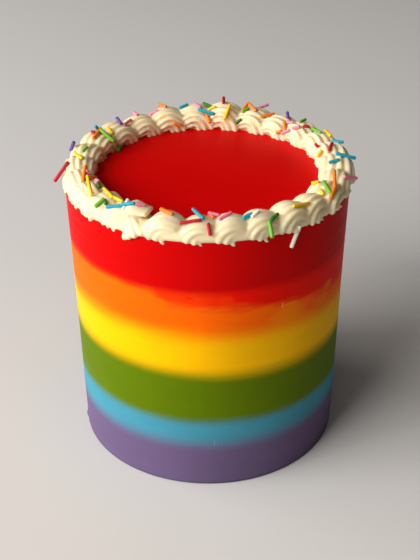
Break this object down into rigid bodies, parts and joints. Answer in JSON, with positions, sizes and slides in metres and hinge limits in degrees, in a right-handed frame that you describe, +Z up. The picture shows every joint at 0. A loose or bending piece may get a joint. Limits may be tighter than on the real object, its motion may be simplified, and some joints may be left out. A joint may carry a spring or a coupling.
{
  "type": "cake",
  "caption": "Tall round iced cake in horizontal rainbow bands, with a piped cream border round its red top and sugar sprinkles on the border.",
  "frame": {"origin": "middle of the flat base, on the surface that the cake stands on", "axes": "+Z up through the middle of the cake, -Y towards the side that the picture shows, +X to its right"},
  "size_m": [0.1741, 0.17, 0.1826],
  "materials": {
    "icing_purple": "satin",
    "icing_blue": "satin",
    "icing_green": "satin",
    "icing_yellow": "satin",
    "icing_orange": "satin",
    "icing_red": "satin",
    "cream": "satin"
  },
  "bodies": {
    "root": {"band_purple": "icing_purple", "band_blue": "icing_blue", "band_green": "icing_green", "band_yellow": "icing_yellow", "band_orange": "icing_orange", "band_red": "icing_red", "piped_border": "cream"}
  },
  "joints": []
}
